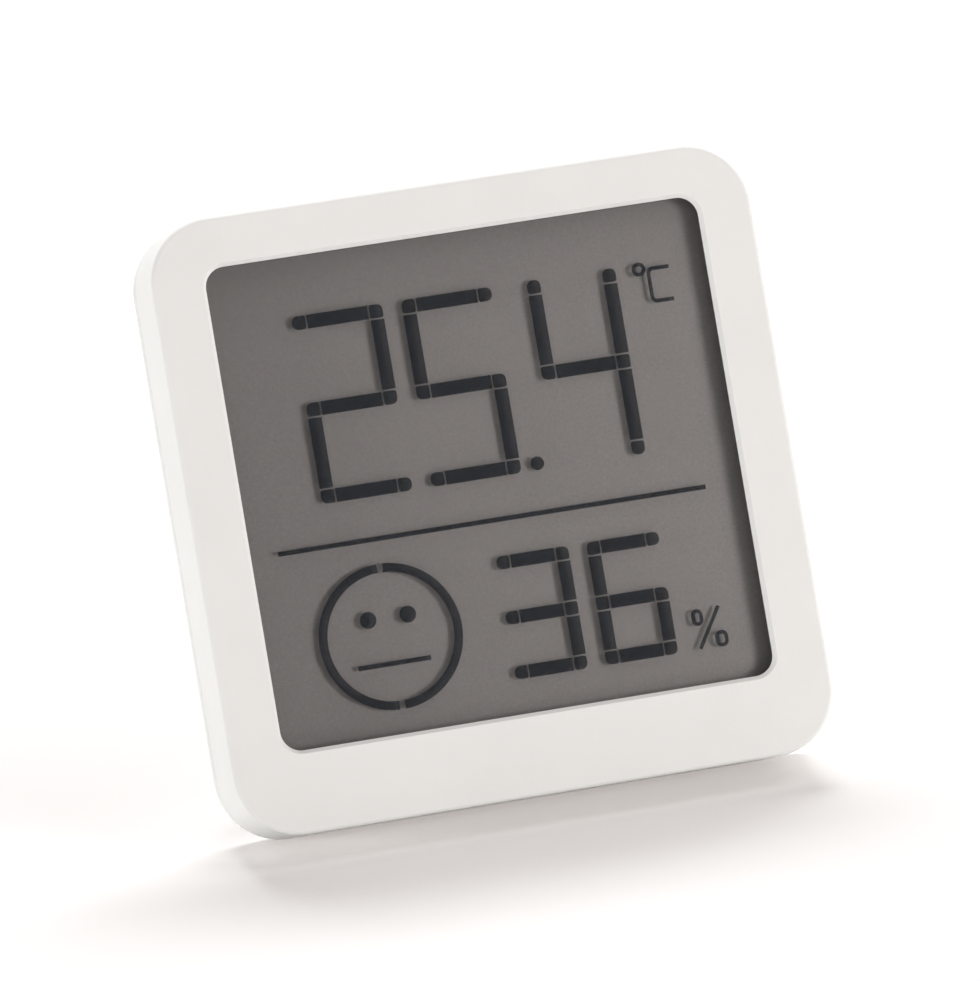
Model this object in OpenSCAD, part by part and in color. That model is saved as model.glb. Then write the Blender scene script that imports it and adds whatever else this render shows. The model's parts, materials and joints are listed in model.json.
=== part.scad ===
// Square desk thermometer and hygrometer with a reflective liquid-crystal display.
// Every piece is drawn with the case lying on its back: x runs to the right, y up the face and
// z out of the face, with z = 0 on the back and the origin under the middle of the case.
// standing() then sets the case on the floor, leaning back on its fold-out leg.

/* [Case] */
// Width of the case
body_w = 60; // [58:0.5:70]
// Height of the case
body_h = 60; // [58:0.5:70]
// Thickness of the case from the front face to the back face
body_t = 10.6; // [9.6:0.1:12]
// Corner radius of the case seen from the front
corner_r = 6.3; // [5.5:0.1:8]
// Rounding of the front edge
front_edge_r = 0.4; // [0.3:0.1:1.2]
// Rounding of the back edge
back_edge_r = 1; // [0.6:0.1:1.8]
// Thickness of the side walls
wall = 1.5; // [1.3:0.1:1.8]
// Thickness of the back cover
cover_t = 1.5; // [1.3:0.1:1.7]
// Height of the seam between back cover and front housing
seam_z = 2.1; // [2:0.1:2.4]
// Width of the seam
seam_gap = 0.1; // [0.05:0.05:0.2]
// Thickness of the locating tongues on the back cover
tongue_t = 0.9; // [0.7:0.1:1.2]
// Height of the locating tongues above the seam
tongue_h = 1.1; // [0.8:0.1:1.5]

/* [Display] */
// Width of the frame beside the display opening
border_side = 5.3; // [4.2:0.1:8]
// Width of the frame above the display opening
border_top = 4.9; // [4.2:0.1:8]
// Width of the frame below the display opening
border_bottom = 8; // [7.5:0.1:9]
// Corner radius of the display opening
open_r = 2; // [1:0.1:3]
// Bevel round the front of the opening
open_bevel = 0.35; // [0.1:0.05:0.45]
// Thickness of the frame in front of the display
lip_t = 0.6; // [0.5:0.05:0.8]
// Thickness of the front and rear display films
film_t = 0.2; // [0.15:0.05:0.25]
// Thickness of the glue between a film and its glass
bond_t = 0.02; // [0.01:0.01:0.03]
// Thickness of each display glass
glass_t = 0.55; // [0.4:0.05:0.6]
// Gap between the two glasses that holds the liquid crystal
crystal_gap = 0.08; // [0.05:0.01:0.12]
// Glass hidden behind the frame at the sides and the top
glass_margin = 1.4; // [1.2:0.1:1.6]
// Ledge of the front glass that carries the contacts
ledge_h = 2.2; // [2:0.1:2.4]
// Thickness of the display holder behind the glass
holder_t = 1.3; // [1:0.1:1.5]

/* [Electronics] */
// Thickness of the circuit board
board_t = 0.8; // [0.6:0.1:1]
// Diameter of the coin cell
cell_d = 20; // [16:0.5:20]
// Thickness of the coin cell
cell_t = 3.2; // [2.5:0.1:3.2]
// Diameter of the magnets
magnet_d = 5; // [4:0.5:5]
// Thickness of the magnets
magnet_t = 1.5; // [1:0.1:2]

/* [Battery door] */
// Height of the door's centre above the middle of the case
door_y = -3; // [-4:0.5:-2]
// Width of the ring between the coin cell and the edge of the door
door_ring = 2.3; // [2.2:0.1:2.6]
// Thickness of the door's outer disc
door_t = 0.8; // [0.7:0.05:0.9]
// Turn that frees the door
door_turn = 40; // [30:1:50]
// Width of the coin slot
slot_w = 1.8; // [1.5:0.1:2.5]
// Length of the coin slot
slot_l = 14; // [10:0.5:17]

/* [Button and vents] */
// Diameter of the unit button
button_d = 5.2; // [4.5:0.1:6]
// Distance of the button to the right of the middle, seen from the front
button_x = 9; // [8.5:0.1:10]
// Distance of the button and the vents below the top of the case
top_row = 9.5; // [9:0.1:10]
// Distance of the middle vent to the left of the middle, seen from the front
vent_left = 7; // [6.5:0.1:7.5]
// Number of vent slots
vent_count = 5; // [3:1:5]
// Length of each vent slot
vent_l = 7; // [5:0.5:8]
// Width of each vent slot
vent_w = 1.2; // [1:0.1:1.4]

/* [Stand] */
// Backward lean of the case on its leg
lean = 20; // [18:0.5:22]
// Angle of the leg from the back of the case when it is out
leg_open = 25; // [23:0.5:27]
// Height of the leg's hinge above the middle of the case
hinge_y = 12; // [11:0.5:13]
// Width of the back left beside the leg
leg_side = 10; // [9.5:0.25:11]
// Width of each arm of the leg
arm_w = 4; // [3.5:0.1:4.5]
// Height of the leg's foot bar
foot_h = 5; // [4:0.1:6]
// Thickness of the leg
leg_t = 2; // [1.8:0.05:2.2]
// Radius of the hinge stubs
stub_r = 0.7; // [0.6:0.05:0.8]

/* [Clearances] */
// Gap between fixed pieces that locate each other
fit_gap = 0.1; // [0.05:0.05:0.15]
// Gap beside pieces that move
move_gap = 0.3; // [0.2:0.05:0.4]
// Radial gap round the hinge stubs
hinge_gap = 0.06; // [0.03:0.01:0.09]

/* [Hidden] */
$fn = 64;
// Reach of a cut past the face that it opens
over = 0.5;
// Depth that a moulded shape sinks into the one that carries it
sink = 0.2;
// Flat left at the ends of a round-ended slot
slot_flat = 0.1;
small_edge_r = 0.25;
// Layers of the display, counted from the front face towards the back
z_lip = body_t - lip_t;
z_front_film = z_lip - film_t;
z_glass = z_front_film - bond_t;
z_crystal = z_glass - glass_t;
z_rear_glass = z_crystal - crystal_gap;
z_film = z_rear_glass - glass_t;
z_holder = z_film - bond_t - film_t;
z_board = z_holder - holder_t;
z_parts = z_board - board_t;
// Inside of the case
cavity_w = body_w - 2 * wall;
cavity_h = body_h - 2 * wall;
cavity_r = corner_r - wall;
rim_in = wall + fit_gap + tongue_t;
tongue_margin = 1;
// Corner posts and screws
post_size = 6.3;
post_gap = 0.3;
post_relief = 0.2;
post_z = seam_z + post_gap;
post_top = z_board - post_relief;
post_skin = 0.3;
tongue_end = post_size + wall + tongue_margin;
screw_inset = 5.6;
screw_x = body_w / 2 - screw_inset;
screw_y = body_h / 2 - screw_inset;
screw_r = 0.8;
screw_head_r = 1.6;
screw_head_h = 0.9;
screw_land = 0.3;
screw_seat = cover_t - screw_land;
screw_tip_gap = 0.7;
screw_boss_r = 2.9;
cross_w = 0.5;
cross_l = 2;
cross_depth = 0.5;
// Display opening and glass
open_w = body_w - 2 * border_side;
open_y0 = border_bottom - body_h / 2;
open_y1 = body_h / 2 - border_top;
open_h = open_y1 - open_y0;
bevel_over = 0.2;
film_margin = 0.6;
film_r = 0.5;
gasket_gap = 0.15;
glass_r = 0.3;
glass_w = open_w + 2 * glass_margin;
glass_top = open_y1 + glass_margin;
rear_lap = 1;
rear_bottom = open_y0 - rear_lap;
ledge_bottom = rear_bottom - ledge_h;
seal_w = 0.9;
holder_gap = 0.2;
holder_window = 3;
holder_window_r = 2;
strip_w = 1.5;
strip_inset = 2.5;
strip_y = rear_bottom - ledge_h / 2;
strip_l = glass_w - 2 * strip_inset;
// Small parts on the back of the board, in a row near its lower edge
low_row_y = 8.5 - body_h / 2;
blob_r = 4;
blob_h = 1.2;
can_r = 0.75;
can_l = 5;
can_x = -16;
chip_l = 1.6;
chip_w = 0.8;
chip_pitch = 1.6;
chip_count = 4;
capacitor_x = 8;
capacitor_t = 0.8;
resistor_x = 11;
resistor_t = 0.45;
// Battery door, from the back face inwards
cell_r = cell_d / 2;
cell_gap = 0.25;
cell_z = cover_t + cell_gap;
cap_t = 0.5;
cap_inset = 1.2;
door_inset = 0.1;
door_z = door_inset + door_t;
door_r = cell_r + door_ring;
neck_t = 0.5;
neck_r = cell_r + cell_gap + neck_t;
neck_gap = 0.2;
ledge_r = neck_r + neck_gap;
lug_reach = 0.9;
lug_r = ledge_r + lug_reach;
lug_z = cover_t + fit_gap;
lug_t = 0.6;
lug_count = 3;
lug_angle = 26;
lug_first = 90;
notch_spare = 8;
notch_angle = lug_angle + notch_spare;
well_r = lug_r + move_gap;
well_wall = 1;
well_gap = 0.8;
well_z = z_parts - well_gap;
rib_w = 2;
rib_z = lug_z + lug_t + move_gap;
slot_floor = 0.32;
slot_depth = door_t - slot_floor;
// Sheet-metal contacts of the cell
clip_sheet = 0.25;
clip_w = 5;
clip_l = 2.6;
clip_y = door_y + cell_r + fit_gap;
clip_z = cell_z + 0.9;
leaf_sheet = 0.15;
leaf_w = 4;
leaf_l = 6;
leaf_bend = -1;
leaf_tip = 2;
// Unit button and its switch
top_row_y = body_h / 2 - top_row;
button_inset = 0.25;
button_gap = 0.15;
button_travel = 0.3;
button_flange = 0.8;
button_flange_t = 0.5;
button_guide_t = 0.8;
button_z = cover_t + fit_gap;
switch_w = 4.5;
switch_t = 1.4;
switch_skin = 0.3;
plunger_r = 1;
plunger_out = 0.5;
plunger_l = plunger_out + switch_t - switch_skin - button_travel - fit_gap;
stem_z = z_parts - switch_t - plunger_out;
// Vents and sensor
vent_pitch = 2 * vent_w;
vent_x = -vent_left;
sensor_w = 2.5;
sensor_t = 0.9;
sensor_hole_r = 0.5;
sensor_hole_depth = 0.45;
// Folded leg and its recess
leg_w = body_w - 2 * leg_side;
leg_inset = 0.3;
leg_z = leg_inset + leg_t / 2;
recess_gap = 0.2;
recess_z = leg_inset + leg_t + recess_gap;
recess_floor = 0.8;
channel_wall = 0.9;
leg_corner_r = 5;
leg_inner_r = 2;
heel = 2.2;
heel_gap = 0.15;
stub_l = 1.4;
stop_gap = 0.05;
heel_sweep_r = sqrt(heel * heel + leg_t * leg_t / 4) + heel_gap;
hinge_block = 3.6;
hinge_block_z = leg_z + (heel + leg_t / 2) * sin(leg_open) + leg_t / 2 * cos(leg_open) + recess_floor;
scoop_a = 5;
scoop_rise = 0.3;
scoop_d = recess_z - scoop_rise;
scoop_r = (scoop_a * scoop_a + scoop_d * scoop_d) / (2 * scoop_d);
// Standing on the floor
lift = back_edge_r * (1 - cos(lean) - sin(lean));
hinge_h = hinge_y + body_h / 2;
hinge_up = hinge_h * cos(lean) + leg_z * sin(lean) + lift;
hinge_back = hinge_h * sin(lean) - leg_z * cos(lean);
leg_tilt = leg_open - lean;
leg_reach = hinge_up / cos(leg_tilt) + leg_t / 2 * abs(tan(leg_tilt));
leg_end = hinge_y - leg_reach;
scoop_y = leg_end + foot_h + move_gap;
front_reach = front_edge_r * sin(lean) - (body_t - front_edge_r) * cos(lean) - front_edge_r;
case_reach = (body_h - back_edge_r) * sin(lean) - back_edge_r * cos(lean) + back_edge_r;
foot_reach = hinge_back + leg_reach * sin(leg_tilt) + leg_t / 2 * cos(leg_tilt);
back_reach = max(case_reach, foot_reach);
// Spots for the posts that hold the board and for the magnets
hold_r = 1.5;
hold_x = body_w / 2 - 5;
hold_y = body_h / 2 - 12;
magnet_gap = 0.6;
magnet_x = body_w / 2 - rim_in - magnet_d / 2 - magnet_gap;
magnet_y = [-7, 4];
magnet_skin = 0.7;
magnet_ring = 0.7;

// Sets the case, drawn on its back, on the floor with its lean
module standing() {
    translate([0, -(front_reach + back_reach) / 2, lift])
        rotate([90 - lean, 0, 0])
            translate([0, body_h / 2, 0])
                children();
}

// Rectangle with round corners, centred
module round_rect(w, h, r) {
    square([w, h - 2 * r], center = true);
    square([w - 2 * r, h], center = true);
    for (x = [-1, 1], y = [-1, 1])
        translate([x * (w / 2 - r), y * (h / 2 - r)])
            circle(r);
}

// Rectangle between two heights with round corners
module round_field(w, y0, y1, r) {
    translate([0, (y0 + y1) / 2])
        round_rect(w, y1 - y0, r);
}

// Carries a profile round a rounded rectangle: the profile's x counts from the corner's centre
module swept_rim(w, h, r) {
    cx = w / 2 - r;
    cy = h / 2 - r;
    for (x = [0, 1]) mirror([x, 0, 0]) {
        translate([cx, cy, 0]) rotate([90, 0, 0]) linear_extrude(2 * cy) children();
        for (y = [0, 1]) mirror([0, y, 0])
            translate([cx, cy, 0]) rotate_extrude(angle = 90) children();
    }
    for (y = [0, 1]) mirror([0, y, 0])
        translate([-cx, cy, 0]) rotate([90, 0, 90]) linear_extrude(2 * cx) children();
}

// Slab with the case's outline whose upper edge is rounded
module soft_slab(t, edge_r) {
    swept_rim(body_w, body_h, corner_r) {
        union() {
            square([corner_r, t - edge_r]);
            square([corner_r - edge_r, t]);
            intersection() {
                translate([corner_r - edge_r, t - edge_r]) circle(edge_r);
                square([corner_r, t]);
            }
        }
    }
    translate([corner_r - body_w / 2, corner_r - body_h / 2, 0])
        cube([body_w - 2 * corner_r, body_h - 2 * corner_r, t]);
}

// The four places of the case screws
module at_screws() {
    for (x = [-1, 1], y = [-1, 1])
        translate([x * screw_x, y * screw_y, 0])
            children();
}

// Front housing: side walls, the frame round the display and a corner post for each screw
module housing_shell() {
    difference() {
        translate([0, 0, seam_z]) soft_slab(body_t - seam_z, front_edge_r);
        translate([0, 0, seam_z - over])
            linear_extrude(z_lip - seam_z + over)
                round_rect(cavity_w, cavity_h, cavity_r);
    }
}

module corner_posts() {
    translate([0, 0, post_z]) linear_extrude(post_top - post_z) intersection() {
        round_rect(cavity_w + 2 * fit_gap, cavity_h + 2 * fit_gap, cavity_r + fit_gap);
        for (x = [-1, 1], y = [-1, 1])
            translate([x * cavity_w / 2, y * cavity_h / 2])
                square(2 * post_size, center = true);
    }
}

module open_bevel_cut() {
    translate([0, (open_y0 + open_y1) / 2, body_t]) swept_rim(open_w, open_h, open_r)
        polygon([[open_r - bevel_over, -open_bevel - bevel_over],
            [open_r + open_bevel + bevel_over, bevel_over], [open_r - bevel_over, bevel_over]]);
}

module front_housing() color("whitesmoke") standing() difference() {
    union() {
        housing_shell();
        corner_posts();
    }
    translate([0, 0, z_lip - over])
        linear_extrude(lip_t + 2 * over)
            round_field(open_w, open_y0, open_y1, open_r);
    open_bevel_cut();
    at_screws() translate([0, 0, post_z - over])
        cylinder(r = screw_r + fit_gap / 2, h = post_top - post_z - post_skin + over);
}

// Outline of the folded leg, grown by a gap
module leg_outline(gap) {
    top = hinge_y + heel + gap;
    difference() {
        round_field(leg_w + 2 * gap, leg_end - gap, top + 2 * leg_corner_r, leg_corner_r);
        round_field(leg_w - 2 * (arm_w + gap), leg_end + foot_h + gap, top + 3 * leg_corner_r, leg_inner_r);
        translate([-leg_w, top]) square([2 * leg_w, 4 * leg_corner_r]);
    }
}

// Puts a piece at the leg's two hinges, with y and z counted from the hinge axis
module at_hinges() {
    for (x = [0, 1]) mirror([x, 0, 0])
        translate([leg_w / 2 - arm_w / 2, hinge_y, leg_z])
            children();
}

// Room for a heel as the leg turns, up to the sloping floor that stops it
module heel_room() {
    w = arm_w + 2 * move_gap;
    difference() {
        rotate([0, 90, 0]) cylinder(r = heel_sweep_r, h = w, center = true);
        rotate([leg_open, 0, 0])
            translate([-w, -2 * heel_sweep_r, leg_t / 2 + stop_gap])
                cube([2 * w, 4 * heel_sweep_r, 2 * heel_sweep_r]);
    }
}

// Recess that the folded leg lies in, with its hinge bores and the finger scoop
module leg_recess() {
    translate([0, 0, -over]) linear_extrude(recess_z + over) leg_outline(move_gap);
    at_hinges() {
        heel_room();
        rotate([0, 90, 0]) cylinder(r = stub_r + hinge_gap, h = arm_w / 2 + stub_l + move_gap);
    }
    translate([0, scoop_y, scoop_d - scoop_r]) sphere(scoop_r);
}

// Inside of the cover behind the leg's recess
module recess_channel() {
    channel_z = recess_z + recess_floor;
    translate([0, 0, cover_t - over]) linear_extrude(channel_z - cover_t + over) intersection() {
        union() {
            leg_outline(move_gap + channel_wall);
            translate([0, scoop_y]) circle(scoop_a + channel_wall);
        }
        square([cavity_w - 2 * fit_gap, cavity_h - 2 * fit_gap], center = true);
    }
    at_hinges() {
        w = arm_w + 2 * (move_gap + stub_l + channel_wall);
        translate([-w / 2, -hinge_block, cover_t - over - leg_z])
            cube([w, 2 * hinge_block, hinge_block_z - cover_t + over]);
    }
}

// A sector of a ring, centred on a direction
module sector(r0, r1, h, angle, direction) {
    rotate(direction - angle / 2)
        rotate_extrude(angle = angle)
            translate([r0, 0])
                square([r1 - r0, h]);
}

// Disc whose lower edge is rounded
module soft_disc(r, h, edge_r) {
    rotate_extrude() {
        translate([0, edge_r]) square([r, h - edge_r]);
        square([r - edge_r, h]);
        translate([r - edge_r, edge_r]) intersection() {
            circle(edge_r);
            translate([0, -edge_r]) square(edge_r);
        }
    }
}

// Opening for the battery door: a seat for its disc, a ledge for its lugs and their entry notches
module door_opening() {
    translate([0, door_y, 0]) {
        translate([0, 0, -over]) cylinder(r = door_r + move_gap / 2, h = door_z + fit_gap / 2 + over);
        cylinder(r = ledge_r, h = cover_t + over);
        for (i = [0 : lug_count - 1])
            sector(ledge_r - over, lug_r + move_gap / 2, cover_t + over, notch_angle,
                360 / lug_count * i + lug_first - door_turn);
    }
}

// Wall round the coin cell, with ribs that centre it
module cell_well() {
    translate([0, door_y, cover_t - sink]) difference() {
        cylinder(r = well_r + well_wall, h = well_z - cover_t + sink);
        translate([0, 0, -over]) cylinder(r = well_r, h = well_z + over);
    }
    for (i = [0 : lug_count - 1])
        translate([0, door_y, 0])
            rotate(360 / lug_count * (i + 0.5) + lug_first)
                translate([cell_r + fit_gap, -rib_w / 2, rib_z])
                    cube([well_r + well_wall / 2 - cell_r - fit_gap, rib_w, well_z - rib_z]);
}

// Locating tongue that runs inside one wall of the housing, up to the corner posts
module tongue(length, distance) {
    translate([tongue_end - length / 2, distance - rim_in, cover_t - sink])
        cube([length - 2 * tongue_end, tongue_t, seam_z + tongue_h - cover_t + sink]);
}

// Round boss that rises from the inside of the cover
module boss(r, top) {
    translate([0, 0, cover_t - sink]) cylinder(r = r, h = top - cover_t + sink);
}

// Inside of the cover: tongues, posts that hold the board, screw bosses and magnet rings
module cover_fittings() {
    for (turn = [0, 180]) {
        rotate(turn) tongue(body_w, body_h / 2);
        rotate(turn + 90) tongue(body_h, body_w / 2);
    }
    for (x = [-1, 1], y = [-1, 1])
        translate([x * hold_x, y * hold_y, 0]) boss(hold_r, z_parts);
    at_screws() boss(screw_boss_r, post_z);
    at_magnets() boss(magnet_d / 2 + magnet_ring, magnet_skin + magnet_t);
    translate([button_x, top_row_y, 0])
        boss(button_d / 2 + button_flange + button_gap + button_guide_t,
            cover_t + button_flange_t + button_travel);
}

module at_magnets() {
    for (x = [-1, 1], y = magnet_y)
        translate([x * magnet_x, y, 0])
            children();
}

module vent_cuts() {
    for (i = [0 : vent_count - 1])
        translate([vent_x + (i - (vent_count - 1) / 2) * vent_pitch, top_row_y, -over])
            linear_extrude(cover_t + 2 * over)
                round_rect(vent_w, vent_l, (vent_w - slot_flat) / 2);
}

module button_cuts() {
    translate([button_x, top_row_y, 0]) {
        translate([0, 0, -over]) cylinder(r = button_d / 2 + button_gap, h = cover_t + 2 * over);
        translate([0, 0, cover_t])
            cylinder(r = button_d / 2 + button_flange + button_gap,
                h = button_flange_t + button_travel + over);
    }
}

// Back cover: the dished back with everything that is moulded on it
module back_cover() color("whitesmoke") standing() difference() {
    union() {
        difference() {
            translate([0, 0, seam_z - seam_gap]) mirror([0, 0, 1])
                soft_slab(seam_z - seam_gap, back_edge_r);
            translate([0, 0, cover_t])
                linear_extrude(seam_z)
                    round_rect(body_w - 2 * rim_in, body_h - 2 * rim_in, corner_r - rim_in);
        }
        recess_channel();
        cell_well();
        cover_fittings();
    }
    leg_recess();
    door_opening();
    vent_cuts();
    button_cuts();
    at_magnets() translate([0, 0, magnet_skin])
        cylinder(r = magnet_d / 2 + fit_gap / 2, h = magnet_t + over);
    at_screws() {
        translate([0, 0, -over]) cylinder(r = screw_head_r + move_gap / 2, h = screw_seat + over);
        cylinder(r = screw_r + fit_gap, h = post_z + over);
    }
}

// Soft tape between the front glass and the frame
module display_gasket() color("dimgray") standing()
    translate([0, 0, z_glass]) linear_extrude(film_t + bond_t) difference() {
        round_field(glass_w - 2 * fit_gap, ledge_bottom + fit_gap, glass_top - fit_gap, film_r);
        round_field(open_w + 2 * (film_margin + gasket_gap), open_y0 - film_margin - gasket_gap,
            open_y1 + film_margin + gasket_gap, film_r);
    }

module film(z, y0, y1, w) {
    translate([0, 0, z]) linear_extrude(film_t) round_field(w, y0, y1, film_r);
}

// Matt polarizing film on the front of the display
module front_film() color("lightgray") standing()
    film(z_front_film, open_y0 - film_margin, open_y1 + film_margin, open_w + 2 * film_margin);

// Front glass, with the ledge that reaches past the rear glass
module front_glass() color("lightblue") standing()
    translate([0, 0, z_crystal]) linear_extrude(glass_t)
        round_field(glass_w, ledge_bottom, glass_top, glass_r);

// Seal that joins the glasses and holds the liquid crystal
module crystal_seal() color("tan") standing()
    translate([0, 0, z_rear_glass]) linear_extrude(crystal_gap) difference() {
        round_field(glass_w, rear_bottom, glass_top, glass_r);
        round_field(glass_w - 2 * seal_w, rear_bottom + seal_w, glass_top - seal_w, glass_r);
    }

// Rear glass, short of the front glass by the ledge
module rear_glass() color("lightblue") standing()
    translate([0, 0, z_film]) linear_extrude(glass_t) round_field(glass_w, rear_bottom, glass_top, glass_r);

// Grey reflecting film behind the display
module rear_film() color("gray") standing()
    film(z_holder, rear_bottom + fit_gap, glass_top - fit_gap, glass_w - 2 * fit_gap);

// Holder that locates the display and the contact strip on the board
module display_holder() color("white") standing() difference() {
    top = z_lip - fit_gap;
    translate([0, 0, z_board]) linear_extrude(top - z_board)
        round_rect(cavity_w - 2 * holder_gap, cavity_h - 2 * holder_gap, cavity_r - holder_gap);
    translate([0, 0, z_holder]) linear_extrude(top)
        round_field(glass_w + 2 * fit_gap, ledge_bottom - fit_gap, glass_top + fit_gap, glass_r);
    translate([0, 0, z_board - over]) linear_extrude(holder_t + 2 * over)
        round_field(glass_w - 2 * holder_window, rear_bottom + holder_window,
            glass_top - holder_window, holder_window_r);
    translate([0, strip_y, z_board - over]) linear_extrude(holder_t + 2 * over)
        square([strip_l + 2 * fit_gap, strip_w + 2 * fit_gap], center = true);
}

// Rubber strip that carries the contacts from the board to the glass
module contact_strip() color("pink") standing()
    translate([-strip_l / 2, strip_y - strip_w / 2, z_board])
        cube([strip_l, strip_w, z_crystal - z_board]);

// Circuit board, notched for the corner posts
module circuit_board() color("darkgreen") standing()
    translate([0, 0, z_parts]) linear_extrude(board_t) difference() {
        square([cavity_w - 4 * holder_gap, cavity_h - 4 * holder_gap], center = true);
        for (x = [-1, 1], y = [-1, 1])
            translate([x * cavity_w / 2, y * cavity_h / 2])
                square(2 * (post_size + holder_gap), center = true);
    }

// Row of small chip parts on the back of the board
module chip_row(x, thickness) {
    for (i = [0 : chip_count - 1])
        translate([x, low_row_y + (i - chip_count / 2) * chip_pitch, z_parts - thickness])
            cube([chip_l, chip_w, thickness]);
}

// Epoxy dome over the controller
module controller_blob() color("black") standing() {
    ball_r = (blob_r * blob_r + blob_h * blob_h) / (2 * blob_h);
    translate([0, low_row_y, z_parts]) intersection() {
        translate([0, 0, ball_r - blob_h]) sphere(ball_r);
        translate([0, 0, -blob_h]) cylinder(r = blob_r, h = blob_h);
    }
}

// Metal can of the clock crystal, lying on the board
module clock_crystal() color("silver") standing()
    translate([can_x, low_row_y, z_parts - can_r])
        rotate([0, 90, 0])
            cylinder(r = can_r, h = can_l);

module capacitors() color("tan") standing() chip_row(capacitor_x, capacitor_t);

module resistors() color("black") standing() chip_row(resistor_x, resistor_t);

// Temperature and humidity sensor with its sensing hole towards the vents
module sensor_chip() color("black") standing()
    translate([vent_x, top_row_y, z_parts - sensor_t]) difference() {
        translate([-sensor_w / 2, -sensor_w / 2, 0]) cube([sensor_w, sensor_w, sensor_t]);
        translate([0, 0, -over]) cylinder(r = sensor_hole_r, h = sensor_hole_depth + over);
    }

// Body of the push switch on the board
module switch_body() color("silver") standing()
    translate([button_x, top_row_y, z_parts - switch_t]) difference() {
        translate([-switch_w / 2, -switch_w / 2, 0]) cube([switch_w, switch_w, switch_t]);
        translate([0, 0, -over]) cylinder(r = plunger_r + button_gap, h = switch_t - switch_skin + over);
    }

// Plunger of the switch, which the button's stem presses
module switch_plunger() color("black") standing()
    translate([button_x, top_row_y, stem_z]) cylinder(r = plunger_r, h = plunger_l);

// Unit button: cap, flange behind the cover and stem on the switch
module unit_button() color("white") standing() translate([button_x, top_row_y, 0]) {
    translate([0, 0, button_inset]) soft_disc(button_d / 2, button_z - button_inset, small_edge_r);
    translate([0, 0, button_z]) cylinder(r = button_d / 2 + button_flange, h = button_flange_t);
    translate([0, 0, button_z]) cylinder(r = plunger_r, h = stem_z - button_z);
}

// Coin cell: can with a smaller cap towards the board
module coin_cell() color("silver") standing() translate([0, door_y, cell_z]) {
    soft_disc(cell_r, cell_t - cap_t, small_edge_r);
    cylinder(r = cell_r - cap_inset, h = cell_t);
}

// Sheet-metal clip on the side of the cell
module positive_contact() color("gold") standing() {
    translate([-clip_w / 2, clip_y, clip_z]) cube([clip_w, clip_sheet, z_parts - clip_z]);
    translate([-clip_w / 2, clip_y, z_parts - clip_sheet]) cube([clip_w, clip_l, clip_sheet]);
}

// Sprung leaf between the cell's cap and the board
module negative_contact() color("gold") standing() {
    cap_z = cell_z + cell_t;
    top = z_parts - leaf_sheet;
    translate([0, door_y - leaf_w / 2, 0]) rotate([90, 0, 180]) linear_extrude(leaf_w)
        polygon([[-leaf_l, z_parts], [-leaf_l, top], [leaf_bend, top],
            [leaf_l - leaf_tip, cap_z], [leaf_l, cap_z], [leaf_l, cap_z + leaf_sheet],
            [leaf_l - leaf_tip, cap_z + leaf_sheet], [leaf_bend, z_parts]]);
}

// Battery door: disc with a coin slot, a neck and three lugs that turn under the cover's ledge
module battery_door() color("white") standing() translate([0, door_y, 0]) difference() {
    union() {
        translate([0, 0, door_inset]) soft_disc(door_r, door_t, small_edge_r);
        translate([0, 0, door_z - sink]) cylinder(r = neck_r, h = lug_z + lug_t - door_z + sink);
        for (i = [0 : lug_count - 1])
            translate([0, 0, lug_z])
                sector(neck_r - neck_t / 2, lug_r, lug_t, lug_angle, 360 / lug_count * i + lug_first);
    }
    translate([0, 0, door_z]) cylinder(r = neck_r - neck_t, h = lug_z + lug_t + over);
    translate([0, 0, -over]) linear_extrude(door_inset + slot_depth + over)
        round_rect(slot_l, slot_w, (slot_w - slot_flat) / 2);
}

// Disc magnets in rings behind the back cover
module magnets() color("silver") standing()
    at_magnets() translate([0, 0, magnet_skin]) cylinder(r = magnet_d / 2, h = magnet_t);

// Self-tapping screws through the cover into the corner posts
module case_screws() color("silver") standing() at_screws() {
    head_z = screw_seat - screw_head_h;
    tip_z = post_top - post_skin - screw_tip_gap;
    difference() {
        translate([0, 0, head_z]) soft_disc(screw_head_r, screw_head_h, small_edge_r);
        for (turn = [0, 90])
            rotate(turn)
                translate([-cross_l / 2, -cross_w / 2, head_z - over])
                    cube([cross_l, cross_w, cross_depth + over]);
    }
    translate([0, 0, screw_seat - sink]) cylinder(r = screw_r, h = tip_z - screw_seat + sink);
}

// The leg with its hinge stubs, folded flat in its recess
module folded_leg() {
    translate([0, 0, leg_inset]) linear_extrude(leg_t) leg_outline(0);
    at_hinges() rotate([0, 90, 0]) cylinder(r = stub_r, h = arm_w / 2 + stub_l);
}

// Fold-out leg, turned out to its stop and cut level where it meets the floor
module stand_leg() color("whitesmoke") difference() {
    standing()
        translate([0, hinge_y, leg_z]) rotate([leg_open, 0, 0]) translate([0, -hinge_y, -leg_z])
            folded_leg();
    translate([-body_w, -body_h, -body_h]) cube([2 * body_w, 2 * body_h, body_h]);
}

front_housing();
back_cover();
display_gasket();
front_film();
front_glass();
crystal_seal();
rear_glass();
rear_film();
display_holder();
contact_strip();
circuit_board();
controller_blob();
clock_crystal();
capacitors();
resistors();
sensor_chip();
switch_body();
switch_plunger();
unit_button();
coin_cell();
positive_contact();
negative_contact();
battery_door();
magnets();
case_screws();
stand_leg();
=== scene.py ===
"""Looks of a square desk thermometer and hygrometer: materials, display segments, light and camera."""
import json
import math

import bmesh
import bpy
from mathutils import Matrix, Vector


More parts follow.
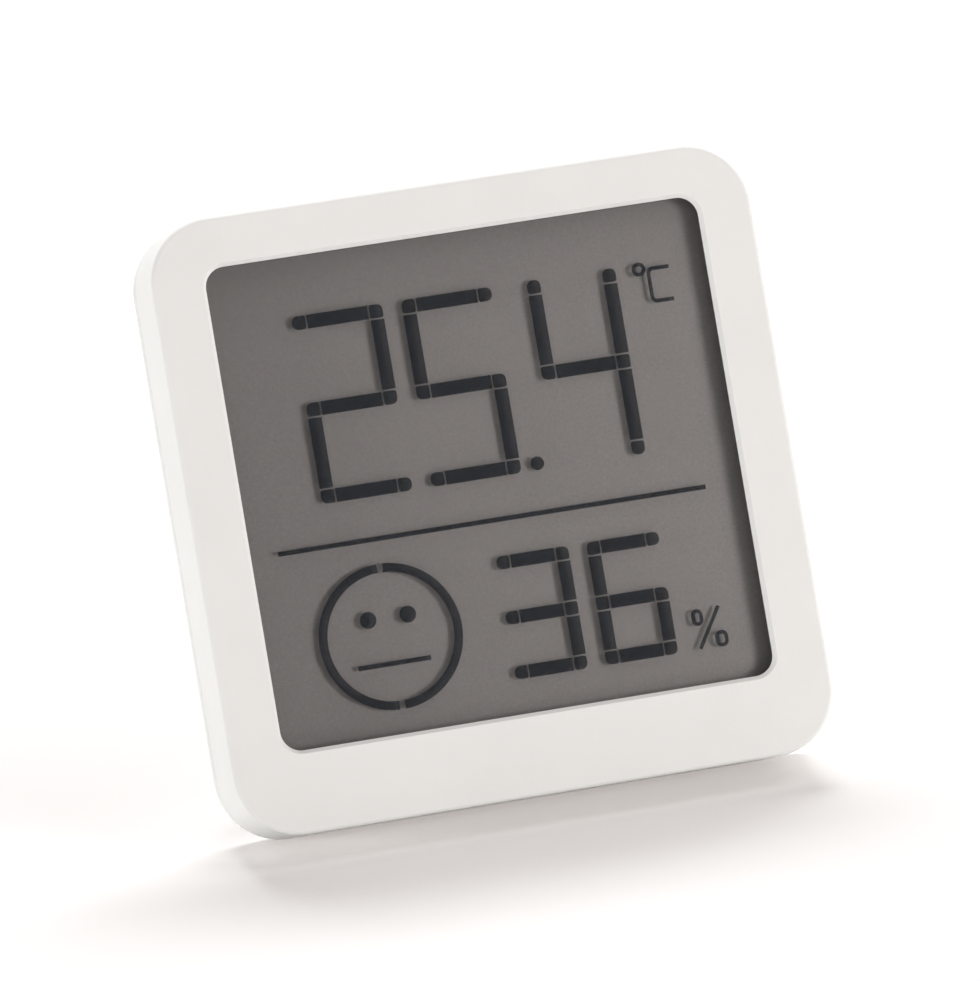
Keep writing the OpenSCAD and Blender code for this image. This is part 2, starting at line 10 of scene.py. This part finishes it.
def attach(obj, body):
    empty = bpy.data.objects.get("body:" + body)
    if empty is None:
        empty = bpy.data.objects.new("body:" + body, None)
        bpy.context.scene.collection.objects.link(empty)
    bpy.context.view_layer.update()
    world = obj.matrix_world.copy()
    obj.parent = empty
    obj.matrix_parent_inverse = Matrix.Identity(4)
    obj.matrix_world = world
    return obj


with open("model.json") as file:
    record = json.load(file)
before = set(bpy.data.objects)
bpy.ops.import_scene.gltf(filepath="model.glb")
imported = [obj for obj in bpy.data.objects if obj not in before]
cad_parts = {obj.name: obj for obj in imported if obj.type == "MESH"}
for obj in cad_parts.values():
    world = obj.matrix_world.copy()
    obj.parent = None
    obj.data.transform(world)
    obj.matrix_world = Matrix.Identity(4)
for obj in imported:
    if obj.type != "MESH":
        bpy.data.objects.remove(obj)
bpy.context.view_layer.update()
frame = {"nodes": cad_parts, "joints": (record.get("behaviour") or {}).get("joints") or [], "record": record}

MM = 0.001
NODES = frame["nodes"]

# The face's own axes, right, up the face and out of it, and the level way to the front
PRESS = next(j for j in frame["joints"] if j["name"] == "unit_button_press")
RIGHT = Vector((1, 0, 0))
FRONT = Vector((0, -1, 0))
OUT = Vector(PRESS["axis"]).normalized()
UP = OUT.cross(RIGHT)


def span(node, axis):
    """Lowest and highest place of a node along an axis."""
    places = [v.co.dot(axis) for v in NODES[node].data.vertices]
    return min(places), max(places)


def middle(node, axis):
    """Place halfway between a node's ends along an axis."""
    return sum(span(node, axis)) / 2


FACE_OUT = span("front_housing", OUT)[1]
FACE_CENTRE = (
    RIGHT * middle("front_housing", RIGHT)
    + UP * middle("front_housing", UP)
    + OUT * FACE_OUT
)


def on_face(x, y, depth):
    """Point of the face, x and y in millimetres from its centre, depth in metres behind it."""
    return FACE_CENTRE + RIGHT * x * MM + UP * y * MM - OUT * depth


# Camera: where it stands, in metres and angles from the face's centre and axes, and where it aims, in
# millimetres of the picture
IMAGE_W = 980
FOCAL_PIXELS = 10000
SENSOR_W = 36
CAMERA_DISTANCE = 0.9645
CAMERA_LEFT = math.radians(13.18)
CAMERA_BELOW = math.radians(2.37)
CAMERA_ROLL = math.radians(-9.55)
AIM_RIGHT = -0.41
AIM_UP = -0.26
CLIP_NEAR = 0.05
CLIP_FAR = 20


def make_camera():
    """Camera at the photograph's viewing angle."""
    towards = (
        -RIGHT * math.sin(CAMERA_LEFT) * math.cos(CAMERA_BELOW)
        - UP * math.sin(CAMERA_BELOW)
        + OUT * math.cos(CAMERA_LEFT) * math.cos(CAMERA_BELOW)
    )
    level = (-towards).cross(UP).normalized()
    upright = level.cross(-towards)
    across = level * math.cos(CAMERA_ROLL) + upright * math.sin(CAMERA_ROLL)
    above = upright * math.cos(CAMERA_ROLL) - level * math.sin(CAMERA_ROLL)
    aim = FACE_CENTRE + across * AIM_RIGHT * MM + above * AIM_UP * MM
    data = bpy.data.cameras.new("camera")
    data.sensor_fit = "HORIZONTAL"
    data.sensor_width = SENSOR_W
    data.lens = FOCAL_PIXELS * SENSOR_W / IMAGE_W
    data.clip_start = CLIP_NEAR
    data.clip_end = CLIP_FAR
    camera = bpy.data.objects.new("camera", data)
    bpy.context.scene.collection.objects.link(camera)
    turn = Matrix((across, above, towards)).transposed()
    camera.matrix_world = Matrix.Translation(aim + towards * CAMERA_DISTANCE) @ turn.to_4x4()
    bpy.context.scene.camera = camera


# Materials: sizes and depths in millimetres, shades as shares of the colour
NOISE_LOW = 0.3
NOISE_HIGH = 0.7


def srgb(red, green, blue):
    """Linear colour of a colour given as 0 to 255, by the sRGB formula."""
    linear = []
    for channel in (red, green, blue):
        share = channel / 255
        linear.append(share / 12.92 if share < 0.04045 else ((share + 0.055) / 1.055) ** 2.4)
    return (*linear, 1)


class Look:
    """A material with one principled shader and the textures that feed it."""

    def __init__(self, name, roughness=0.5, metallic=0.0, specular=0.5):
        self.material = bpy.data.materials.new(name)
        self.material.use_nodes = True
        self.tree = self.material.node_tree
        self.tree.nodes.clear()
        output = self.add("OutputMaterial")
        self.shader = self.add("BsdfPrincipled")
        self.join(self.shader.outputs["BSDF"], output.inputs["Surface"])
        self.set("Roughness", roughness)
        self.set("Metallic", metallic)
        self.set("Specular IOR Level", specular)

    def add(self, kind):
        return self.tree.nodes.new("ShaderNode" + kind)

    def join(self, output, socket):
        self.tree.links.new(output, socket)

    def set(self, socket, value):
        self.shader.inputs[socket].default_value = value

    def noise(self, size, detail=2.0, stretch=(1, 1, 1)):
        """Noise whose lumps are about size millimetres across, stretched along x, y and z."""
        place = self.add("TexCoord")
        mapping = self.add("Mapping")
        texture = self.add("TexNoise")
        mapping.inputs["Scale"].default_value = [1 / s for s in stretch]
        texture.inputs["Scale"].default_value = 1 / (size * MM)
        texture.inputs["Detail"].default_value = detail
        self.join(place.outputs["Object"], mapping.inputs["Vector"])
        self.join(mapping.outputs["Vector"], texture.inputs["Vector"])
        return texture.outputs["Fac"]

    def ramp(self, factor, low, high):
        """Turns noise about one half into values from low to high."""
        change = self.add("MapRange")
        change.inputs["From Min"].default_value = NOISE_LOW
        change.inputs["From Max"].default_value = NOISE_HIGH
        change.inputs["To Min"].default_value = low
        change.inputs["To Max"].default_value = high
        self.join(factor, change.inputs["Value"])
        return change.outputs["Result"]

    def colour(self, factor, dark, light):
        """Colour that goes from dark to light with the noise."""
        mix = self.add("Mix")
        mix.data_type = "RGBA"
        mix.inputs["A"].default_value = dark
        mix.inputs["B"].default_value = light
        self.join(self.ramp(factor, 0, 1), mix.inputs["Factor"])
        self.join(mix.outputs["Result"], self.shader.inputs["Base Color"])

    def tone(self, axis, low, high, dark):
        """Painted shade: darkens the colour by a share at low, fading out to high, in millimetres along a
        face axis.
        """
        place = self.add("TexCoord")
        along = self.add("VectorMath")
        along.operation = "DOT_PRODUCT"
        along.inputs[1].default_value = axis
        change = self.add("MapRange")
        change.inputs["From Min"].default_value = FACE_CENTRE.dot(axis) + low * MM
        change.inputs["From Max"].default_value = FACE_CENTRE.dot(axis) + high * MM
        change.inputs["To Min"].default_value = dark
        change.inputs["To Max"].default_value = 1
        scale = self.add("VectorMath")
        scale.operation = "SCALE"
        base = self.shader.inputs["Base Color"]
        self.join(place.outputs["Object"], along.inputs[0])
        self.join(along.outputs["Value"], change.inputs["Value"])
        self.join(change.outputs["Result"], scale.inputs["Scale"])
        self.join(base.links[0].from_socket, scale.inputs[0])
        self.join(scale.outputs["Vector"], base)

    def bump(self, factor, depth):
        """Relief of depth millimetres."""
        relief = self.add("Bump")
        relief.inputs["Distance"].default_value = depth * MM
        self.join(factor, relief.inputs["Height"])
        self.join(relief.outputs["Normal"], self.shader.inputs["Normal"])

    def vary(self, socket, factor, low, high):
        """Lets a value of the shader follow the noise."""
        self.join(self.ramp(factor, low, high), self.shader.inputs[socket])


def shade(colour, share):
    """The colour made darker or lighter by a share."""
    return (*(min(c * share, 1) for c in colour[:3]), 1)


CLOUD_SIZE = 9
CLOUD_SHADES = (0.985, 1.015)
GRAIN_ROUGHNESS = 0.05


def moulded(name, colour, roughness, grain, depth):
    """Matt moulded plastic with a fine eroded grain and faint cloudiness."""
    look = Look(name, roughness)
    look.colour(look.noise(CLOUD_SIZE, detail=3), *(shade(colour, s) for s in CLOUD_SHADES))
    fine = look.noise(grain, detail=3)
    look.bump(fine, depth)
    look.vary("Roughness", fine, roughness - GRAIN_ROUGHNESS, roughness + GRAIN_ROUGHNESS)
    return look.material


LINE_SIZE = 0.12
LINE_SHADES = (0.85, 1.1)
LINE_ROUGHNESS = 0.08
LINE_DEPTH = 0.004


def brushed(name, colour, roughness, stretch):
    """Metal with fine drawn lines."""
    look = Look(name, roughness, metallic=1.0)
    lines = look.noise(LINE_SIZE, detail=4, stretch=stretch)
    look.colour(lines, *(shade(colour, s) for s in LINE_SHADES))
    look.vary("Roughness", lines, roughness - LINE_ROUGHNESS, roughness + LINE_ROUGHNESS)
    look.bump(lines, LINE_DEPTH)
    return look.material


MATT_SIZE = 0.15
MATT_SHADES = (0.96, 1.04)


def clear(name, colour, alpha, roughness, specular, relief):
    """Clear sheet whose surface is finely matt."""
    look = Look(name, roughness, specular=specular)
    fine = look.noise(MATT_SIZE)
    look.colour(fine, *(shade(colour, s) for s in MATT_SHADES))
    look.bump(fine, relief)
    look.set("Alpha", alpha)
    return look.material


FILM_GRAIN = 0.22
FILM_RELIEF_SIZE = 0.3
FILM_RELIEF = 0.01
# Painted shade on the film: where it darkens, from the face's centre to the right and up, and by how much
# Painted shade, darker towards the left, away from the key lamp
PAINTED_SIDE_FADE = (-22, 22)
PAINTED_SIDE_DARK = 0.8
# Painted shadow of the opening's top lip on the film
PAINTED_TOP_FADE = (24.5, 16)
PAINTED_TOP_DARK = 0.86


def reflector(name, dark, light):
    """Grey reflecting film: a fine grain with a soft sheen, and painted shade that darkens it to the left
    and under the top lip.
    """
    look = Look(name, roughness=0.6, specular=0.3)
    look.colour(look.noise(FILM_GRAIN, detail=4), dark, light)
    look.tone(RIGHT, *PAINTED_SIDE_FADE, PAINTED_SIDE_DARK)
    look.tone(UP, *PAINTED_TOP_FADE, PAINTED_TOP_DARK)
    look.bump(look.noise(FILM_RELIEF_SIZE), FILM_RELIEF)
    return look.material


# Depth of the speckles as a share of their size
SPECKLE_DEPTH = 0.05


def speckled(name, dark, light, size, roughness):
    """Ceramic, resin or rubber with visible speckles."""
    look = Look(name, roughness)
    spots = look.noise(size, detail=5)
    look.colour(spots, dark, light)
    look.bump(spots, size * SPECKLE_DEPTH)
    return look.material


WHITE = srgb(238, 237, 234)
BUTTON_WHITE = srgb(228, 227, 225)
STEEL = srgb(205, 205, 207)
NICKEL = srgb(214, 206, 190)

MATERIALS = {
    "case_white": moulded("case_white", WHITE, 0.6, 0.22, 0.012),
    "leg_white": moulded("leg_white", WHITE, 0.55, 0.22, 0.012),
    "door_white": moulded("door_white", shade(WHITE, 0.98), 0.55, 0.22, 0.012),
    "button_white": moulded("button_white", BUTTON_WHITE, 0.4, 0.3, 0.006),
    "holder_white": moulded("holder_white", srgb(225, 225, 222), 0.6, 0.4, 0.01),
    "gasket_grey": speckled("gasket_grey", srgb(52, 52, 54), srgb(66, 66, 68), 0.2, 0.85),
    "film_matt": clear("film_matt", srgb(150, 147, 143), 0.015, 0.5, 0.1, 0.004),
    "clear_glass": clear("clear_glass", srgb(200, 210, 208), 0.002, 0.3, 0.0, 0.001),
    "seal_resin": speckled("seal_resin", srgb(176, 164, 132), srgb(198, 186, 154), 0.3, 0.4),
    "reflector_grey": reflector("reflector_grey", srgb(120, 116, 114), srgb(131, 127, 125)),
    "strip_rubber": speckled("strip_rubber", srgb(214, 150, 150), srgb(228, 172, 170), 0.25, 0.7),
    "board_green": speckled("board_green", srgb(24, 92, 52), srgb(34, 112, 64), 0.6, 0.35),
    "epoxy_black": speckled("epoxy_black", srgb(18, 18, 20), srgb(32, 32, 34), 0.8, 0.25),
    "can_steel": brushed("can_steel", STEEL, 0.3, (8, 1, 1)),
    "ceramic_tan": speckled("ceramic_tan", srgb(168, 136, 98), srgb(190, 158, 118), 0.12, 0.5),
    "chip_black": speckled("chip_black", srgb(28, 28, 30), srgb(46, 46, 48), 0.1, 0.6),
    "cell_steel": brushed("cell_steel", STEEL, 0.32, (6, 6, 1)),
    "contact_nickel": brushed("contact_nickel", NICKEL, 0.28, (6, 1, 1)),
    "magnet_nickel": brushed("magnet_nickel", STEEL, 0.18, (1, 1, 1)),
    "screw_steel": brushed("screw_steel", shade(STEEL, 0.9), 0.35, (2, 2, 1)),
}


def dress_nodes():
    """Gives every node the material of its slot in the record."""
    for part in frame["record"]["subparts"]:
        mesh = NODES[part["node"]].data
        mesh.materials.clear()
        mesh.materials.append(MATERIALS[part["material_slot"]])


LEG_SOFT = 0.3
SOFT_SEGMENTS = 3
SOFT_ANGLE = math.radians(40)
WELD = 0.001


def soften(node, width):
    """Small round, width millimetres wide, on a node's sharp edges."""
    weld = NODES[node].modifiers.new("weld", "WELD")
    weld.merge_threshold = WELD * MM
    bevel = NODES[node].modifiers.new("soft_edges", "BEVEL")
    bevel.width = width * MM
    bevel.segments = SOFT_SEGMENTS
    bevel.limit_method = "ANGLE"
    bevel.angle_limit = SOFT_ANGLE
    bevel.harden_normals = True


# Display segments, in millimetres on the face
CRYSTAL_FRONT = FACE_OUT - span("front_glass", OUT)[0]
CRYSTAL_BACK = FACE_OUT - span("rear_glass", OUT)[1]
# Share of the gap between the glasses that stays free on each side of the segments
INK_MARGIN = 0.25
INK_FRONT = CRYSTAL_FRONT + (CRYSTAL_BACK - CRYSTAL_FRONT) * INK_MARGIN
INK_BACK = CRYSTAL_BACK - (CRYSTAL_BACK - CRYSTAL_FRONT) * INK_MARGIN
ARC_STEPS = 6
# Surfaces of film and glass that light crosses on its way in and out of the display, with some to spare
DISPLAY_BOUNCES = 16


def arc(centre, radius, start, end, steps):
    """Points of an arc, angles in degrees, counted anticlockwise."""
    points = []
    for i in range(steps + 1):
        angle = math.radians(start + (end - start) * i / steps)
        points.append(centre + Vector((math.cos(angle), math.sin(angle))) * radius)
    return points


def rounded(corners, radii):
    """Closed outline, anticlockwise, with each corner of a rectangle rounded by its own radius."""
    points = []
    turns = (180, 270, 0, 90)
    inward = (Vector((1, 1)), Vector((-1, 1)), Vector((-1, -1)), Vector((1, -1)))
    for corner, radius, turn, side in zip(corners, radii, turns, inward):
        points += arc(corner + side * radius, radius, turn, turn + 90, ARC_STEPS)
    return points


def box_corners(x0, y0, x1, y1):
    """Corners of a rectangle, anticlockwise from the lower left."""
    return [Vector(p) for p in ((x0, y0), (x1, y0), (x1, y1), (x0, y1))]


class Print:
    """Thin dark plates between the two glasses, gathered in one piece."""

    def __init__(self):
        self.mesh = bmesh.new()

    def ring(self, points, depth):
        """Corner points of an outline at a depth behind the face."""
        return [self.mesh.verts.new(on_face(p.x, p.y, depth)) for p in points]

    def plate(self, outline):
        """Plate with a convex outline, given anticlockwise."""
        front = self.ring(outline, INK_FRONT)
        back = self.ring(outline, INK_BACK)
        self.mesh.faces.new(front)
        self.mesh.faces.new(reversed(back))
        for i in range(len(outline)):
            j = (i + 1) % len(outline)
            self.mesh.faces.new((front[j], front[i], back[i], back[j]))

    def band(self, path, width, closed=False):
        """Plate that follows a path with a constant width."""
        sides = [[], []]
        count = len(path)
        for i in range(count):
            before = path[i - 1] if closed or i else path[i]
            after = path[(i + 1) % count] if closed or i < count - 1 else path[i]
            along = (after - before).normalized()
            across = Vector((-along.y, along.x)) * width / 2
            sides[0].append(path[i] - across)
            sides[1].append(path[i] + across)
        rings = [self.ring(side, depth) for depth in (INK_FRONT, INK_BACK) for side in sides]
        right, left, right_back, left_back = rings
        for i in range(count if closed else count - 1):
            j = (i + 1) % count
            self.mesh.faces.new((right[i], right[j], left[j], left[i]))
            self.mesh.faces.new((left_back[i], left_back[j], right_back[j], right_back[i]))
            self.mesh.faces.new((right[j], right[i], right_back[i], right_back[j]))
            self.mesh.faces.new((left[i], left[j], left_back[j], left_back[i]))
        if not closed:
            for i, turn in ((0, False), (count - 1, True)):
                end = [right[i], left[i], left_back[i], right_back[i]]
                self.mesh.faces.new(reversed(end) if turn else end)

    def finish(self, name, material):
        """Turns the plates into a piece that rides with the case."""
        bmesh.ops.recalc_face_normals(self.mesh, faces=self.mesh.faces)
        data = bpy.data.meshes.new(name)
        self.mesh.to_mesh(data)
        self.mesh.free()
        data.materials.append(material)
        piece = bpy.data.objects.new(name, data)
        bpy.context.scene.collection.objects.link(piece)
        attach(piece, "case")


# Lit bars of each numeral: t top, R upper right, r lower right, b bottom, L lower left, U upper left,
# m middle
LIT = {2: "tRbLm", 3: "tRrbm", 4: "RrUm", 5: "trbUm", 6: "trbLUm"}
BAR_GAP = 0.15
CAP_ROUND = 0.58
CAP_SHARP = 0.25


def numeral(ink, value, columns, rows, stroke):
    """One numeral of bars and corner caps; rows run from the bottom up."""
    half = stroke / 2
    end = half + BAR_GAP
    left, right = columns
    bottom, centre, top = rows
    lit = LIT[value]
    for bar, y in (("t", top), ("m", centre), ("b", bottom)):
        if bar in lit:
            ink.plate(box_corners(left + end, y - half, right - end, y + half))
    uprights = (
        ("U", left, centre, top),
        ("R", right, centre, top),
        ("L", left, bottom, centre),
        ("r", right, bottom, centre),
    )
    for bar, x, y0, y1 in uprights:
        if bar in lit:
            ink.plate(box_corners(x - half, y0 + end, x + half, y1 - end))
    # A cap's neighbours: the bar beside it, the bar below it and the bar above it
    caps = (
        (left, top, "t", "U", ""),
        (left, centre, "m", "L", "U"),
        (left, bottom, "b", "", "L"),
        (right, top, "t", "R", ""),
        (right, centre, "m", "r", "R"),
        (right, bottom, "b", "", "r"),
    )
    for x, y, beside, below, above in caps:
        lit_beside, lit_below, lit_above = (bool(b) and b in lit for b in (beside, below, above))
        if not (lit_beside or lit_below or lit_above):
            continue
        at_left = x == left
        lit_right, lit_left = (lit_beside, False) if at_left else (False, lit_beside)
        free = (
            not (lit_left or lit_below),
            not (lit_right or lit_below),
            not (lit_right or lit_above),
            not (lit_left or lit_above),
        )
        radii = [CAP_ROUND if f else CAP_SHARP for f in free]
        ink.plate(rounded(box_corners(x - half, y - half, x + half, y + half), radii))


# How far right and up of the place where it shows on the face a sign lies on the deeper display
SHIFT_X = 0.33
SHIFT_Y = -0.06


def place(x, y):
    """Point of the display that shows at x, y on the face."""
    return Vector((x + SHIFT_X, y + SHIFT_Y))


# Places of the signs as they show on the face
TEMPERATURE_ROWS = (1.8, 10.3, 18.75)
TEMPERATURE_STROKE = 1.33
TEMPERATURE = ((2, -16.35, -8.65), (5, -5.4, 2.28), (4, 7.2, 14.8))
POINT = (4.63, 1.81)
POINT_R = 0.67
HUMIDITY_ROWS = (-17.9, -12.55, -7.15)
HUMIDITY_STROKE = 1.28
HUMIDITY = ((3, -0.38, 5.6), (6, 8.72, 14.7))
SIGN_STROKE = 0.37
DEGREE = (17.79, 18.87)
DEGREE_R = 0.5
LETTER_LEFT = 18.7
LETTER_RIGHT = 20.83
LETTER_TOP = 18.79
LETTER_BOTTOM = 15.6
LETTER_ROUND = 0.5
PERCENT_RINGS = ((17.78, -15.39, 1.15, 1.65), (19.88, -17.75, 1.3, 1.6))
PERCENT_SLASH = ((17.6, -18.44), (20.03, -14.58))
PERCENT_ROUND = 0.4
DIVIDER = ((-22.1, -2.97), (20.8, -2.97))
LINE_W = 0.46
MOOD = (-12.5, -12.47)
MOOD_R = 6.68
MOOD_STROKE = 0.85
MOOD_GAP = 0.55
MOOD_STEPS = 40
EYES = ((-14.47, -10.6), (-10.51, -10.6))
EYE_R = 0.82
MOUTH = ((-16.2, -15.07), (-8.94, -15.07))
DOT_STEPS = 24


def circle(centre, radius):
    """Points all round a circle."""
    return arc(centre, radius, 0, 360 - 360 / DOT_STEPS, DOT_STEPS - 1)


def numerals(values, rows, stroke):
    """Row of numerals, each given by its value and its left and right bars' places."""
    ink = Print()
    low, mid, high = (y + SHIFT_Y for y in rows)
    for value, left, right in values:
        numeral(ink, value, (left + SHIFT_X, right + SHIFT_X), (low, mid, high), stroke)
    return ink


def temperature_digits():
    ink = numerals(TEMPERATURE, TEMPERATURE_ROWS, TEMPERATURE_STROKE)
    ink.plate(circle(place(*POINT), POINT_R))
    return ink


def humidity_digits():
    return numerals(HUMIDITY, HUMIDITY_ROWS, HUMIDITY_STROKE)


def unit_signs():
    """Signs for degrees Celsius and per cent."""
    ink = Print()
    ink.band(circle(place(*DEGREE), DEGREE_R), SIGN_STROKE, True)
    top_left = place(LETTER_LEFT, LETTER_TOP) + Vector((LETTER_ROUND, -LETTER_ROUND))
    low_left = place(LETTER_LEFT, LETTER_BOTTOM) + Vector((LETTER_ROUND, LETTER_ROUND))
    letter = [place(LETTER_RIGHT, LETTER_TOP)]
    letter += arc(top_left, LETTER_ROUND, 90, 180, ARC_STEPS)
    letter += arc(low_left, LETTER_ROUND, 180, 270, ARC_STEPS)
    letter.append(place(LETTER_RIGHT, LETTER_BOTTOM))
    ink.band(letter, SIGN_STROKE)
    for x, y, w, h in PERCENT_RINGS:
        low = place(x - (w - SIGN_STROKE) / 2, y - (h - SIGN_STROKE) / 2)
        high = place(x + (w - SIGN_STROKE) / 2, y + (h - SIGN_STROKE) / 2)
        ink.band(rounded(box_corners(*low, *high), [PERCENT_ROUND] * 4), SIGN_STROKE, True)
    ink.band([place(*p) for p in PERCENT_SLASH], SIGN_STROKE)
    return ink


def divider_line():
    ink = Print()
    ink.band([place(*p) for p in DIVIDER], LINE_W)
    return ink


def comfort_face():
    """Plain pictogram: a ring in two halves, two dots and a line."""
    ink = Print()
    gap = math.degrees(MOOD_GAP / MOOD_R) / 2
    for start in (90, 270):
        ink.band(arc(place(*MOOD), MOOD_R, start + gap, start + 180 - gap, MOOD_STEPS), MOOD_STROKE)
    for eye in EYES:
        ink.plate(circle(place(*eye), EYE_R))
    ink.band([place(*p) for p in MOUTH], LINE_W)
    return ink


def make_display(material):
    """The display's switched-on segments, one piece for each group of signs."""
    temperature_digits().finish("temperature_digits", material)
    humidity_digits().finish("humidity_digits", material)
    unit_signs().finish("unit_signs", material)
    divider_line().finish("divider_line", material)
    comfort_face().finish("comfort_face", material)


INK_ALPHA = 0.62
INK_CLOUDS = 1.5


def segment_ink():
    """Switched-on liquid crystal: blue-black with faint clouds, and not quite opaque."""
    look = Look("segment_ink", roughness=0.5, specular=0.05)
    look.colour(look.noise(INK_CLOUDS, detail=3), srgb(12, 18, 27), srgb(22, 29, 39))
    look.set("Alpha", INK_ALPHA)
    return look.material


# Floor and surroundings
FLOOR_SIZE = 6
FLOOR_COLOUR = (0.85, 0.85, 0.85, 1)
FLOOR_SHADE = 0.995
FLOOR_CLOUDS = 60
FLOOR_GLOW = 0.23
GLOW_COLOUR = (1, 0.883, 0.832, 1)
AMBIENT = 0.06


def make_floor():
    """Pale floor that the camera sees as white, with the object's shadow kept."""
    mesh = bmesh.new()
    bmesh.ops.create_grid(mesh, x_segments=1, y_segments=1, size=FLOOR_SIZE / 2)
    data = bpy.data.meshes.new("floor")
    mesh.to_mesh(data)
    mesh.free()
    floor = bpy.data.objects.new("floor", data)
    bpy.context.scene.collection.objects.link(floor)
    look = Look("floor", roughness=0.9, specular=0.1)
    look.colour(look.noise(FLOOR_CLOUDS), shade(FLOOR_COLOUR, FLOOR_SHADE), FLOOR_COLOUR)
    path = look.add("LightPath")
    seen = look.add("Math")
    seen.operation = "MULTIPLY"
    seen.inputs[1].default_value = FLOOR_GLOW
    look.join(path.outputs["Is Camera Ray"], seen.inputs[0])
    look.join(seen.outputs["Value"], look.shader.inputs["Emission Strength"])
    look.set("Emission Color", GLOW_COLOUR)
    data.materials.append(look.material)


def make_world():
    """White where it is seen, mirrored or looked through, and a plain soft light elsewhere."""
    world = bpy.data.worlds.new("surroundings")
    bpy.context.scene.world = world
    world.use_nodes = True
    tree = world.node_tree
    background = tree.nodes["Background"]
    background.inputs["Color"].default_value = (1, 1, 1, 1)
    path = tree.nodes.new("ShaderNodeLightPath")
    seen = path.outputs["Is Camera Ray"]
    for ray in ("Is Glossy Ray", "Is Transmission Ray"):
        either = tree.nodes.new("ShaderNodeMath")
        either.operation = "MAXIMUM"
        tree.links.new(seen, either.inputs[0])
        tree.links.new(path.outputs[ray], either.inputs[1])
        seen = either.outputs["Value"]
    strength = tree.nodes.new("ShaderNodeMapRange")
    strength.inputs["To Min"].default_value = AMBIENT
    strength.inputs["To Max"].default_value = 1
    tree.links.new(seen, strength.inputs["Value"])
    tree.links.new(strength.outputs["Result"], background.inputs["Strength"])


def make_lamp(name, direction, distance, width, height, watts, colour):
    """Soft lamp that looks at the face's centre from a direction."""
    data = bpy.data.lights.new(name, "AREA")
    data.shape = "RECTANGLE"
    data.size = width
    data.size_y = height
    data.energy = watts
    data.color = colour
    lamp = bpy.data.objects.new(name, data)
    bpy.context.scene.collection.objects.link(lamp)
    lamp.location = FACE_CENTRE + direction.normalized() * distance
    lamp.rotation_euler = (-direction).to_track_quat("-Z", "Y").to_euler()


# Lamps: the key stands to the right of the face's normal and a little below it; the others are given
# by their turn from the front towards the right, and by their height above the floor
WARM = (1, 0.966, 0.955)
NEUTRAL = (1, 1, 1)
KEY_RIGHT = math.radians(39)
KEY_BELOW = math.radians(7)
KEY_DISTANCE = 2.2
KEY_SIZE = 0.7
KEY_WATTS = 30.6
SIDE_TURN = math.radians(-85)
SIDE_HEIGHT = math.radians(6)
SIDE_SIZE = 0.2
SIDE_WATTS = 5.5
TOP_TURN = math.radians(60)
TOP_HEIGHT = math.radians(60)
TOP_SIZE = 0.5
TOP_WATTS = 1.7
BACK_TURN = math.radians(168)
BACK_HEIGHT = math.radians(57.5)
BACK_WIDTH = 0.65
BACK_DEPTH = 0.24
BACK_WATTS = 8.2
FILL_DISTANCE = 1.0


def lamp_direction(turn, height):
    """Way to a lamp, from its turn and its height."""
    level = FRONT * math.cos(turn) + RIGHT * math.sin(turn)
    return level * math.cos(height) + Vector((0, 0, math.sin(height)))


def make_lamps():
    """Key lamp and three fill lamps."""
    ahead = OUT * math.cos(KEY_BELOW) - UP * math.sin(KEY_BELOW)
    key = RIGHT * math.sin(KEY_RIGHT) + ahead * math.cos(KEY_RIGHT)
    side = lamp_direction(SIDE_TURN, SIDE_HEIGHT)
    top = lamp_direction(TOP_TURN, TOP_HEIGHT)
    back = lamp_direction(BACK_TURN, BACK_HEIGHT)
    make_lamp("key", key, KEY_DISTANCE, KEY_SIZE, KEY_SIZE, KEY_WATTS, WARM)
    make_lamp("side", side, FILL_DISTANCE, SIDE_SIZE, SIDE_SIZE, SIDE_WATTS, NEUTRAL)
    make_lamp("top", top, FILL_DISTANCE, TOP_SIZE, TOP_SIZE, TOP_WATTS, WARM)
    make_lamp("back", back, FILL_DISTANCE, BACK_WIDTH, BACK_DEPTH, BACK_WATTS, NEUTRAL)


bpy.context.scene.view_settings.view_transform = "Standard"
bpy.context.scene.cycles.transparent_max_bounces = DISPLAY_BOUNCES
make_camera()
make_floor()
make_world()
make_lamps()
dress_nodes()
soften("stand_leg", LEG_SOFT)
make_display(segment_ink())
